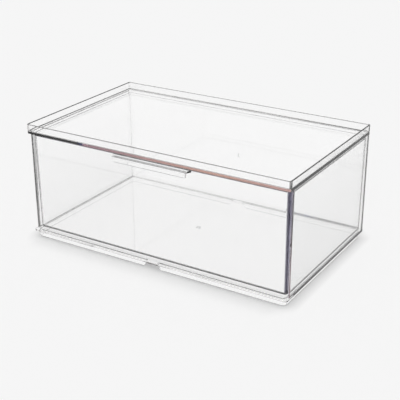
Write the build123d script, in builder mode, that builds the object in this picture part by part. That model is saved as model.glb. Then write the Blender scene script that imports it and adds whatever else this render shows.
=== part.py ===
from build123d import *
from math import atan, degrees
import os

# A clear stacking case, open at the front, with a pull-out drawer.
# X runs along the front, Y from the front to the back and Z upwards, in millimetres.
# The origin is the centre of the whole outline, on the surface that the case stands on.

# Case
case_width = 320.0
case_depth = 192.0
case_height = 134.0
case_wall = 2.0
top_thickness = 2.4
base_thickness = 2.2
front_ledge = 6.5
front_corner_radius = 3.0
back_corner_radius = 1.2
inner_corner_radius = 4.0
case_edge_radius = 0.4

# Stacking rim round the top
rim_height = 8.0
rim_wall = 2.0
rim_top_wall = 1.5
rim_edge_radius = 0.4

# Foot ring, which drops inside the rim of a case below
foot_height = 6.5
foot_wall = 2.0
foot_tip_wall = 1.6
stacking_gap = 1.0
foot_corner_radius = 5.0
notch_width = 23.0
notch_top_width = 13.0

# Drawer
drawer_wall = 2.0
drawer_draft = 1.0
drawer_corner_radius = 4.0
drawer_bottom_radius = 3.5
drawer_edge_radius = 0.5
side_gap = 0.6
back_gap = 0.6
slide_gap = 0.3
headroom = 3.5

# Finger pull along the drawer's top edge
pull_width = 95.0
pull_tip_width = 89.0
pull_reach = 8.0
pull_depth = 6.2
pull_thickness = 2.0
pull_tip_thickness = 1.3
pull_nose_radius = 3.0
pull_root_radius = 1.0
pull_corner_radius = 1.5

# Marks that the mould's gates leave
gate_width = 5.0
gate_depth = 0.5
gate_nub_width = 1.8
gate_nub_height = 0.3

# Places that follow from the sizes
pull_overhang = max(pull_reach - front_ledge, 0)
case_back = (case_depth + pull_overhang) / 2
case_front = case_back - case_depth
case_centre = (case_front + case_back) / 2
wall_front = case_front + front_ledge

floor_top = foot_height + base_thickness
plate_top = case_height - rim_height
ceiling = plate_top - top_thickness
room_height = ceiling - floor_top
wall_depth = case_back - wall_front
room_width = case_width - 2 * case_wall
room_depth = wall_depth - case_wall

foot_width = case_width - 2 * (rim_wall + stacking_gap)
foot_depth = case_depth - 2 * (rim_wall + stacking_gap)
recess_width = foot_width - 2 * foot_wall
recess_depth = foot_depth - 2 * foot_wall

drawer_bottom = floor_top + slide_gap
drawer_top = ceiling - headroom
drawer_height = drawer_top - drawer_bottom
drawer_width = room_width - 2 * side_gap
drawer_depth = room_depth - back_gap
drawer_centre = wall_front + drawer_depth / 2

# Tapers, in degrees, from how far each wall leans over its height
rim_taper = degrees(atan((rim_wall - rim_top_wall) / rim_height))
foot_taper = degrees(atan((foot_wall - foot_tip_wall) / foot_height))
drawer_taper = degrees(atan(drawer_draft / drawer_height))

# The case is one moulding: base, three walls, top, rim and foot ring
with BuildPart() as case:
    with BuildSketch(Plane.XY.offset(foot_height)) as base_outline:
        with Locations((0, case_centre)):
            Rectangle(case_width, case_depth)
        fillet(base_outline.vertices().group_by(Axis.Y)[0], front_corner_radius)
        fillet(base_outline.vertices().group_by(Axis.Y)[-1], back_corner_radius)
    extrude(amount=base_thickness)
    fillet(case.faces().sort_by(Axis.Z)[0].edges(), case_edge_radius)

    with BuildSketch(Plane.XY.offset(floor_top)) as wall_outline:
        with Locations((0, wall_front + wall_depth / 2)):
            Rectangle(case_width, wall_depth)
        with Locations((0, wall_front + room_depth / 2)):
            Rectangle(room_width, room_depth, mode=Mode.SUBTRACT)
        fillet(wall_outline.vertices().group_by(Axis.Y)[1], inner_corner_radius)
        fillet(wall_outline.vertices().group_by(Axis.Y)[0], case_edge_radius)
        fillet(wall_outline.vertices().group_by(Axis.Y)[-1], back_corner_radius)
    extrude(amount=room_height)

    with BuildSketch(Plane.XY.offset(ceiling)) as top_outline:
        with Locations((0, case_centre)):
            Rectangle(case_width, case_depth)
        fillet(top_outline.vertices().group_by(Axis.Y)[0], front_corner_radius)
        fillet(top_outline.vertices().group_by(Axis.Y)[-1], back_corner_radius)
    extrude(amount=top_thickness + rim_height)
    with BuildSketch(Plane.XY.offset(plate_top)) as tray_outline:
        with Locations((0, case_centre)):
            Rectangle(case_width - 2 * rim_wall, case_depth - 2 * rim_wall)
        fillet(tray_outline.vertices(), front_corner_radius - rim_top_wall)
    extrude(amount=rim_height, taper=-rim_taper, mode=Mode.SUBTRACT)

    with BuildSketch(Plane.XY.offset(foot_height)):
        with Locations((0, case_centre)):
            RectangleRounded(foot_width, foot_depth, foot_corner_radius)
    extrude(amount=-foot_height)
    with BuildSketch(Plane.XY.offset(foot_height)):
        with Locations((0, case_centre)):
            RectangleRounded(recess_width, recess_depth, foot_corner_radius - foot_wall)
    extrude(amount=-foot_height, taper=-foot_taper, mode=Mode.SUBTRACT)
    with BuildSketch(Plane.XZ.offset(-case_centre)):
        with BuildLine():
            Polyline(
                (-notch_width / 2, 0),
                (-notch_top_width / 2, foot_height),
                (notch_top_width / 2, foot_height),
                (notch_width / 2, 0),
                close=True,
            )
        make_face()
    extrude(amount=case_depth / 2, both=True, mode=Mode.SUBTRACT)

    fillet(case.faces().sort_by(Axis.Z)[-1].edges(), rim_edge_radius)

    gate_height = floor_top + room_height / 2
    with BuildSketch(Plane.XZ.offset(-case_back)):
        with Locations((0, gate_height)):
            Circle(gate_width / 2)
    extrude(amount=gate_depth, mode=Mode.SUBTRACT)
    with BuildSketch(Plane.XZ.offset(gate_depth - case_back)):
        with Locations((0, gate_height)):
            Circle(gate_nub_width / 2)
    extrude(amount=-gate_nub_height)

case.part.label = "case"

# The pull's blank: its side profile, cut to its plan
with BuildPart() as pull:
    with BuildSketch(Plane.YZ):
        nose = wall_front - pull_reach
        root = wall_front + drawer_wall / 2
        lip = drawer_top - pull_depth
        under = drawer_top - pull_thickness
        tip = nose + pull_tip_thickness
        inner_nose = nose + pull_thickness
        root_depth = pull_thickness + pull_root_radius
        face = wall_front + drawer_draft * root_depth / drawer_height
        with BuildLine():
            Polyline(
                (nose + pull_nose_radius, drawer_top),
                (root, drawer_top),
                (root, drawer_top - root_depth),
                (face, drawer_top - root_depth),
            )
            RadiusArc(
                (face, drawer_top - root_depth),
                (face - pull_root_radius, under),
                -pull_root_radius,
            )
            FilletPolyline(
                (face - pull_root_radius, under),
                (inner_nose, under),
                (tip, lip),
                radius=pull_nose_radius - pull_thickness,
            )
            Polyline((tip, lip), (nose, lip), (nose, drawer_top - pull_nose_radius))
            RadiusArc(
                (nose, drawer_top - pull_nose_radius),
                (nose + pull_nose_radius, drawer_top),
                pull_nose_radius,
            )
        make_face()
    extrude(amount=pull_width / 2, both=True)

    with BuildSketch(Plane.XY.offset(lip)) as pull_plan:
        with BuildLine():
            Polyline(
                (-pull_tip_width / 2, nose),
                (pull_tip_width / 2, nose),
                (pull_width / 2, wall_front),
                (pull_width / 2, root),
                (-pull_width / 2, root),
                (-pull_width / 2, wall_front),
                close=True,
            )
        make_face()
        fillet(pull_plan.vertices().group_by(Axis.Y)[0], pull_corner_radius)
    extrude(amount=pull_depth, mode=Mode.INTERSECT)

# The space inside the drawer, which leans out with the walls
floor_lean = drawer_draft * drawer_wall / drawer_height
drawer_base_width = drawer_width - 2 * drawer_draft
drawer_base_depth = drawer_depth - 2 * drawer_draft

with BuildPart() as pocket:
    with BuildSketch(Plane.XY.offset(drawer_bottom + drawer_wall)):
        with Locations((0, drawer_centre)):
            RectangleRounded(
                drawer_base_width + 2 * (floor_lean - drawer_wall),
                drawer_base_depth + 2 * (floor_lean - drawer_wall),
                drawer_corner_radius - drawer_wall,
            )
    extrude(amount=drawer_height - drawer_wall, taper=-drawer_taper)
    fillet(pocket.faces().sort_by(Axis.Z)[0].edges(), drawer_bottom_radius - drawer_wall)

# The drawer is one moulding: an open box with its pull
with BuildPart() as drawer:
    with BuildSketch(Plane.XY.offset(drawer_bottom)):
        with Locations((0, drawer_centre)):
            RectangleRounded(drawer_base_width, drawer_base_depth, drawer_corner_radius)
    extrude(amount=drawer_height, taper=-drawer_taper)
    fillet(drawer.faces().sort_by(Axis.Z)[0].edges(), drawer_bottom_radius)
    add(pocket.part, mode=Mode.SUBTRACT)
    fillet(drawer.faces().sort_by(Axis.Z)[-1].edges(), drawer_edge_radius)
    add(pull.part)

    with BuildSketch(Plane.XY.offset(drawer_bottom)):
        with Locations((0, drawer_centre)):
            Circle(gate_width / 2)
    extrude(amount=gate_depth, mode=Mode.SUBTRACT)
    with BuildSketch(Plane.XY.offset(drawer_bottom + gate_depth)):
        with Locations((0, drawer_centre)):
            Circle(gate_nub_width / 2)
    extrude(amount=-gate_nub_height)

drawer.part.label = "drawer"

os.makedirs("parts", exist_ok=True)
export_step(case.part, "parts/case.step")
export_step(drawer.part, "parts/drawer.step")
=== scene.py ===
import bpy
from mathutils import Matrix, Vector

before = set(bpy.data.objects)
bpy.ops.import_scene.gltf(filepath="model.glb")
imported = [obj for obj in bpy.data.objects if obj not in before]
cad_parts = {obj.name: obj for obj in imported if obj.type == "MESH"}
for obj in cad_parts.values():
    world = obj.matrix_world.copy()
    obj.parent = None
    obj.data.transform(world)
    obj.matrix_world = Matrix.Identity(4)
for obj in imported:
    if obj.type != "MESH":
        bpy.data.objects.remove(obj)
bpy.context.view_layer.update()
scene = bpy.context.scene
scene.view_settings.view_transform = "Standard"

# Light goes to and fro inside a clear plate many times before it comes out of an edge
BOUNCES = 48
scene.cycles.max_bounces = BOUNCES
scene.cycles.transmission_bounces = BOUNCES
scene.cycles.glossy_bounces = BOUNCES
scene.cycles.transparent_max_bounces = BOUNCES

MM = 0.001
PALE = 0.92


# Nodes
def add(tree, kind, operation=None, values=(), links=()):
    """A node, with constants and links for its inputs by their place or name."""
    made = tree.nodes.new(kind)
    if operation:
        made.operation = operation
    for place, value in values:
        made.inputs[place].default_value = value
    for place, socket in links:
        tree.links.new(socket, made.inputs[place])
    return made


def mapped(tree, socket, low, high, at_low, at_high):
    """A smooth step from at_low to at_high as the value goes from low to high."""
    ends = [("From Min", low), ("From Max", high), ("To Min", at_low), ("To Max", at_high)]
    made = add(tree, "ShaderNodeMapRange", values=ends, links=[("Value", socket)])
    made.interpolation_type = "SMOOTHSTEP"
    return made.outputs["Result"]


def mixed(tree, factor, first, second):
    """The second colour over the first, by a factor. Each is a colour or a socket."""
    made = tree.nodes.new("ShaderNodeMix")
    made.data_type = "RGBA"
    tree.links.new(factor, made.inputs[0])
    for place, colour in ((6, first), (7, second)):
        if isinstance(colour, bpy.types.NodeSocket):
            tree.links.new(colour, made.inputs[place])
        else:
            made.inputs[place].default_value = (*colour, 1)
    return made.outputs[2]


def ramp(tree, socket, stops):
    """Colours along a value. The marks keep their order, so they are moved before they are coloured."""
    made = add(tree, "ShaderNodeValToRGB", links=[("Fac", socket)])
    marks = made.color_ramp.elements
    while len(marks) < len(stops):
        marks.new(0.5)
    for mark, (place, colour) in zip(marks, stops):
        mark.position = place
    for mark, (place, colour) in zip(marks, stops):
        mark.position = place
        mark.color = (*colour, 1)
    return made.outputs["Color"]


def blend(tree, factor, first, second):
    """The second shader over the first, by a factor."""
    made = add(tree, "ShaderNodeMixShader", links=[(0, factor), (1, first), (2, second)])
    return made.outputs[0]


def grey(value):
    return (value, value, value)


class Place:
    """The sockets that tell where a point of a solid is, mirrored across X too, and how upright it is."""

    def __init__(self, tree):
        self.tree = tree
        coordinates = add(tree, "ShaderNodeTexCoord")
        self.object = coordinates.outputs["Object"]
        split = add(tree, "ShaderNodeSeparateXYZ", links=[(0, self.object)])
        self.x = split.outputs["X"]
        self.z = split.outputs["Z"]
        across = add(tree, "ShaderNodeMath", "ABSOLUTE", links=[(0, self.x)])
        joined = add(
            tree, "ShaderNodeCombineXYZ",
            links=[(0, across.outputs[0]), (1, split.outputs["Y"]), (2, self.z)],
        )
        self.mirrored = joined.outputs[0]
        facing = add(tree, "ShaderNodeSeparateXYZ", links=[(0, coordinates.outputs["Normal"])])
        upward = add(tree, "ShaderNodeMath", "ABSOLUTE", links=[(0, facing.outputs["Z"])])
        self.upright = mapped(tree, upward.outputs[0], 0.3, 0.5, 1, 0)

    def inside(self, mirrored, low, high, soft, upright):
        """1 inside a box in millimetres and 0 outside it, for every face or for the upright ones only."""
        tree = self.tree
        point = self.mirrored if mirrored else self.object
        middle = [(a + b) / 2 * MM for a, b in zip(low, high)]
        half = [(b - a) / 2 * MM for a, b in zip(low, high)]
        offset = add(tree, "ShaderNodeVectorMath", "SUBTRACT", [(1, middle)], [(0, point)])
        away = add(tree, "ShaderNodeVectorMath", "ABSOLUTE", links=[(0, offset.outputs[0])])
        out = add(tree, "ShaderNodeVectorMath", "SUBTRACT", [(1, half)], [(0, away.outputs[0])])
        each = add(tree, "ShaderNodeSeparateXYZ", links=[(0, out.outputs[0])])
        two = add(tree, "ShaderNodeMath", "MAXIMUM", links=[(0, each.outputs[0]), (1, each.outputs[1])])
        most = add(tree, "ShaderNodeMath", "MAXIMUM", links=[(0, two.outputs[0]), (1, each.outputs[2])])
        mask = mapped(tree, most.outputs[0], -soft * MM / 2, soft * MM / 2, 1, 0)
        if upright:
            both = add(tree, "ShaderNodeMath", "MULTIPLY", links=[(0, mask), (1, self.upright)])
            mask = both.outputs[0]
        return mask


# Camera
back = Vector((0.48162, -0.78132, 0.39697)).normalized()
right = Vector((0.85186, 0.52376, -0.00265)).normalized()
up = back.cross(right).normalized()
camera_data = bpy.data.cameras.new("camera")
camera_data.lens = 82.90
camera_data.sensor_width = 36
camera = bpy.data.objects.new("camera", camera_data)
scene.collection.objects.link(camera)
axes = Matrix((right, up, back)).transposed().to_4x4()
camera.matrix_world = Matrix.Translation((0.49924, -0.80523, 0.45463)) @ axes
scene.camera = camera

# World: white soft light. The plastic shows a studio with a bright stretch, which its flat faces mirror, and a dark
# one higher up, which its edges take in.
BRIGHT = 0.98
FLAG = 0.03
WHITE = grey(1)
world = bpy.data.worlds.new("studio")
scene.world = world
world.use_nodes = True
tree = world.node_tree
tree.nodes.clear()
light = add(tree, "ShaderNodeBackground", values=[("Color", (*WHITE, 1))])
backdrop = add(tree, "ShaderNodeBackground", values=[("Color", (*grey(PALE), 1))])
coordinates = add(tree, "ShaderNodeTexCoord")
height = add(tree, "ShaderNodeSeparateXYZ", links=[(0, coordinates.outputs["Generated"])])
studio = ramp(tree, height.outputs["Z"], [
    (0, grey(PALE)), (0.18, grey(PALE)), (0.24, grey(BRIGHT)), (0.46, grey(BRIGHT)), (0.52, grey(PALE)),
    (0.55, grey(PALE)), (0.60, grey(FLAG)), (0.90, grey(FLAG)), (0.95, WHITE), (1, WHITE),
])
seen = add(tree, "ShaderNodeBackground", links=[("Color", studio)])
path = add(tree, "ShaderNodeLightPath")
through = add(
    tree, "ShaderNodeMath", "MAXIMUM",
    links=[(0, path.outputs["Is Glossy Ray"]), (1, path.outputs["Is Transmission Ray"])],
)
shown = blend(tree, through.outputs[0], light.outputs[0], seen.outputs[0])
shown = blend(tree, path.outputs["Is Camera Ray"], shown, backdrop.outputs[0])
add(tree, "ShaderNodeOutputWorld", links=[(0, shown)])

# Floor, with the soft shadow under the case. It reaches less far out on the left and right.
SHADOW_REACH = 0.034
SIDE_REACH = 0.014
SHADOW_DEPTH = 0.51
FLOOR_SIZE = 4
FLOOR_DROP = 0.0002
mesh = bpy.data.meshes.new("floor")
corners = [(x * FLOOR_SIZE, y * FLOOR_SIZE, 0) for x, y in ((-1, -1), (1, -1), (1, 1), (-1, 1))]
mesh.from_pydata(corners, [], [(0, 1, 2, 3)])
floor = bpy.data.objects.new("floor", mesh)
scene.collection.objects.link(floor)
floor.location.z = -FLOOR_DROP
material = bpy.data.materials.new("floor")
material.use_nodes = True
tree = material.node_tree
surface = tree.nodes["Principled BSDF"]
surface.inputs["Roughness"].default_value = 1.0
surface.inputs["Specular IOR Level"].default_value = 0.0
coordinates = add(tree, "ShaderNodeTexCoord")
split = add(tree, "ShaderNodeSeparateXYZ", links=[(0, coordinates.outputs["Object"])])
across = add(tree, "ShaderNodeMath", "ABSOLUTE", links=[(0, split.outputs["X"])])
reach = mapped(tree, across.outputs[0], 0.145, 0.165, SHADOW_REACH, SIDE_REACH)
shut = add(tree, "ShaderNodeAmbientOcclusion", links=[("Distance", reach)])
shut.samples = 8
shade = add(
    tree, "ShaderNodeMapRange",
    values=[("To Min", PALE * (1 - SHADOW_DEPTH)), ("To Max", PALE)], links=[("Value", shut.outputs["AO"])],
)
path = add(tree, "ShaderNodeLightPath")
tone = mixed(tree, path.outputs["Is Camera Ray"], grey(PALE), shade.outputs["Result"])
tree.links.new(tone, surface.inputs["Base Color"])
mesh.materials.append(material)

# Clear plastic. Its roughness goes from CLEAR to HANDLED, and its faces ripple by RIPPLE metres.
INDEX = 1.49
BODY_COLOUR = (0.42, 0.38, 0.37, 1)
BODY_DENSITY = 2.0
CLEAR = 0.002
HANDLED = 0.008
RIPPLE = 0.00004


def plastic(name, layers, worn):
    """Clear moulded plastic, with colours in boxes: painted shade and painted reflections round its edges, and its
    gate's mark; and a matt surface where it is worn.
    """
    made = bpy.data.materials.new(name)
    made.use_nodes = True
    tree = made.node_tree
    glass = tree.nodes["Principled BSDF"]
    glass.inputs["IOR"].default_value = INDEX
    glass.inputs["Transmission Weight"].default_value = 1.0
    place = Place(tree)

    def noise(*values):
        return add(tree, "ShaderNodeTexNoise", values=values, links=[("Vector", place.object)]).outputs["Fac"]

    colour = WHITE
    for mirrored, low, high, soft, upright, shade_and_mark in layers:
        if callable(shade_and_mark):
            shade_and_mark = shade_and_mark(place)
        colour = mixed(tree, place.inside(mirrored, low, high, soft, upright), colour, shade_and_mark)
    tree.links.new(colour, glass.inputs["Base Color"])

    smears = noise(("Scale", 22.0), ("Detail", 4.0), ("Distortion", 1.5))
    scuffs = noise(("Scale", 400.0), ("Detail", 3.0))
    matt = mapped(tree, smears, 0.45, 0.75, CLEAR, HANDLED)
    for mirrored, low, high, soft, depth in worn:
        scuffed = mapped(tree, scuffs, 0.3, 0.7, depth * 0.7, depth)
        mask = place.inside(mirrored, low, high, soft, False)
        matt = add(tree, "ShaderNodeMix", links=[(0, mask), (2, matt), (3, scuffed)]).outputs[0]
    tree.links.new(matt, glass.inputs["Roughness"])

    flow = noise(("Scale", 16.0), ("Detail", 1.0))
    ripple = add(
        tree, "ShaderNodeBump", values=[("Strength", 1.0), ("Distance", RIPPLE)], links=[("Height", flow)],
    )
    tree.links.new(ripple.outputs["Normal"], glass.inputs["Normal"])

    # Soft light and shadows go straight through
    film = add(tree, "ShaderNodeBsdfTransparent", values=[(0, (*WHITE, 1))])
    path = add(tree, "ShaderNodeLightPath")
    clear = blend(tree, path.outputs["Is Diffuse Ray"], glass.outputs[0], film.outputs[0])
    clear = blend(tree, path.outputs["Is Shadow Ray"], clear, film.outputs[0])
    body = add(
        tree, "ShaderNodeVolumeAbsorption", values=[("Color", BODY_COLOUR), ("Density", BODY_DENSITY)],
    )
    output = tree.nodes["Material Output"]
    tree.links.new(clear, output.inputs["Surface"])
    tree.links.new(body.outputs[0], output.inputs["Volume"])
    return made


def along(axis, low, high, stops):
    """A colour of painted shade and painted reflection that changes along an axis, from low to high in millimetres.
    """

    def made(place):
        part = add(
            place.tree, "ShaderNodeMapRange",
            values=[("From Min", low * MM), ("From Max", high * MM)], links=[("Value", getattr(place, axis))],
        )
        return ramp(place.tree, part.outputs["Result"], stops)

    return made


# Painted shade and painted reflections that change along an edge, left to right or from the foot up
front_band_reflection = along("x", -160, 160, [
    (0, grey(0.0001)), (0.22, grey(0.0002)), (0.24, (0.0006, 0.001, 0.02)), (0.25, (0.33, 0.14, 0.19)),
    (0.4, (0.4, 0.17, 0.19)), (0.6, (0.68, 0.27, 0.22)), (0.75, (0.78, 0.31, 0.22)), (1, (0.8, 0.34, 0.3)),
])
floor_back_shade = along("x", -157, 157, [
    (0, grey(0.85)), (0.1, grey(0.6)), (0.5, grey(0.3)), (0.72, grey(0.35)), (0.74, grey(0.05)),
    (0.78, (0.03, 0.04, 0.1)), (0.82, grey(0.04)), (1, grey(0.04)),
])
drawer_back_shade = along("x", -157, 157, [
    (0, WHITE), (0.7, WHITE), (0.74, grey(0.05)), (0.78, (0.03, 0.04, 0.1)), (0.82, grey(0.03)), (1, grey(0.03)),
])
right_wall_shade = along("z", 8, 124, [(0, grey(0.9)), (1, grey(0.96))])
left_wall_shade = along("z", 8, 124, [(0, grey(0.92)), (0.4, grey(0.95)), (1, WHITE)])
left_strip_shade = along("z", 8, 124, [(0, grey(0.1)), (0.5, grey(0.13)), (1, grey(0.4))])
right_end_shade = along("z", 8, 124, [
    (0, (0.6, 0.55, 0.65)), (0.4, (0.5, 0.45, 0.55)), (0.7, (0.1, 0.09, 0.14)), (1, (0.08, 0.07, 0.11)),
])
right_line_shade = along("z", 8, 124, [
    (0, (0.2, 0.1, 0.12)), (0.4, (0.2, 0.1, 0.12)), (0.7, (0.12, 0.09, 0.13)), (1, (0.1, 0.08, 0.12)),
])

# A strip of painted shade behind the left front edge, in steps that make it wider towards the top, as rows like
# those below
STEPS = 6
STEP_HEIGHT = 19.1
STEP_GROWTH = 0.44
shade_strip_rows = [
    (
        False,
        (-158.2, -88.3, 8.7 + STEP_HEIGHT * k), (-157.8, -86.8 + STEP_GROWTH * k, 28.2 + STEP_HEIGHT * k),
        0.4, False, left_strip_shade,
    )
    for k in range(STEPS)
]

# Each row is a box round an edge: on both sides or not, its low and high corners and how softly it ends, all in
# millimetres, upright faces only or not, and the colour painted there, mostly painted shade and painted reflections
# that stand in for the dark and coloured lines of the edges. A later row goes over the ones before it.
FAR = 500
case_layers = [
    # Side walls: painted shade, darker towards the foot
    (False, (157.5, -88.3, 8.7), (160.3, 96.9, 123.3), 0.1, True, right_wall_shade),
    (False, (-160.3, -88.3, 8.7), (-157.5, 96.9, 123.3), 0.1, True, left_wall_shade),
    # Top plate's edge, painted shade on the back and sides, and on the front a painted reflection, dark on the left
    # and salmon to the right
    (True, (-FAR, 90, 123.3), (FAR, FAR, 126.2), 0.1, True, grey(0.5)),
    (True, (159, -93, 123.2), (FAR, 96, 126.2), 0.1, True, grey(0.00001)),
    (False, (-159.5, -FAR, 123.4), (159.5, -90, 126.1), 0.1, True, front_band_reflection),
    # Painted shade on the rim's top, its top at the sides, its front corners and the foot of its inner face
    (True, (-FAR, -FAR, 133.4), (FAR, FAR, 135), 0.2, False, grey(0.3)),
    (True, (158, -94, 133.4), (161, 96, 135), 0.2, False, grey(0.004)),
    (True, (158.2, -96, 126), (160.2, -93.6, 133.6), 0.3, False, grey(0.1)),
    (True, (-FAR, -93.9, 125.9), (158.6, 95.4, 126.5), 0.2, True, grey(0.2)),
    # Painted shade on the inner faces of the back wall and of the left wall, just under the top plate
    (True, (-FAR, 94.6, 122.7), (158.2, 95.2, 123.2), 0.1, False, grey(0.05)),
    (False, (-158.2, -88, 121.6), (-157.6, 95.2, 122.7), 0.1, False, grey(0.0005)),
    # Painted shade and painted reflections on the side walls' front ends: the right one in two parts, then the left
    # one and the strip behind it
    (False, (157.8, -89, 8.7), (159.3, -88.2, 123.3), 0.2, False, right_end_shade),
    (False, (159.3, -89, 8.7), (160.2, -88.2, 123.3), 0.2, False, right_line_shade),
    (False, (-160.2, -89, 8.7), (-157.8, -88.2, 123.3), 0.2, False, grey(0.1)),
    *shade_strip_rows,
    # Painted shade on the back right corner
    (False, (158.9, 95.6, 8.7), (160.2, 97, 123.3), 0.2, False, grey(0.17)),
    # Painted shade along the foot of the side walls and of the back wall, inside
    (True, (157.5, -88, 8.7), (158.5, 95, 9.7), 0.2, False, grey(0.06)),
    (False, (-158, 94.5, 8.7), (158, 95, 10.2), 0.2, False, floor_back_shade),
    # Painted shade on the base plate's edge: sides, front left corner and over the notch
    (True, (158, -80, 6.3), (160.2, 97, 8.8), 0.2, True, grey(0.0001)),
    (False, (-160.2, -95.4, 6.4), (-157, -92.5, 8.8), 0.2, True, grey(0.01)),
    (True, (-FAR, -96, 6.3), (9, -94.6, 7.5), 0.2, False, grey(0.02)),
    # Painted shade on the foot ring's tip, where it meets the floor
    (True, (-FAR, -FAR, -1), (FAR, FAR, 0.4), 0.2, False, grey(0.4)),
    # Left half of the gate's mark in the back wall
    (False, (-2.6, 96.2, 63.6), (-0.9, 97, 68.7), 0.1, False, grey(0.5)),
]
drawer_layers = [
    # Floor: painted shade, a little darker
    (False, (-152, -84, 8.8), (152, 90, 11.2), 0.5, False, grey(0.955)),
    # Painted shade on the front panel's top
    (False, (-FAR, -90, 119.5), (FAR, -86, 121), 0.2, False, (0.2, 0.19, 0.22)),
    # Painted shade and painted reflection on the upright corners: the front right one, a paler line in it and the
    # back right one
    (False, (153.4, -89, 9), (158, -84.3, 119.6), 0.8, False, (0.08, 0.075, 0.11)),
    (False, (155.9, -89, 9), (156.5, -84.3, 119.6), 0.3, False, (0.25, 0.23, 0.36)),
    (False, (153.4, 90, 12), (158, 95, 119.6), 0.8, False, grey(0.14)),
    # Painted shade on the roundings round the floor: right, left, back and front
    (False, (152.8, -84, 10.2), (156.9, 92, 13.2), 0.2, False, grey(0.0001)),
    (False, (-157.6, -84, 8.9), (-152.5, 92, 9.9), 0.3, False, grey(0.4)),
    (False, (-157, 91.5, 8.9), (158, 95, 12.4), 0.3, False, drawer_back_shade),
    (True, (-FAR, -FAR, 8), (FAR, -85.5, 11.7), 0.4, False, (0.002, 0.0018, 0.002)),
    # Painted shade on the pull's right end
    (False, (45.8, -97, 112), (48, -89, 120.2), 0.3, False, (0.01, 0.01, 0.012)),
    # Front of the gate's mark in the floor
    (True, (1.2, 0.2, 8.9), (2.7, 2.7, 9.6), 0.1, False, grey(0.3)),
]

# Each row is a box where the surface is worn matt, as above, and its roughness: the foot ring's tip, which rubs on
# the shelf, and the pull's nose, which fingers hold
case_worn = [(True, (-FAR, -FAR, -1), (FAR, FAR, 0.5), 0.3, 0.25)]
drawer_worn = [(True, (-FAR, -95.7, 118.9), (48, -93.8, 120.4), 0.3, 0.9)]

for node, layers, worn in (("case", case_layers, case_worn), ("drawer", drawer_layers, drawer_worn)):
    clear = plastic(node + "_plastic", layers, worn)
    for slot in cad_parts[node].material_slots:
        slot.material = clear
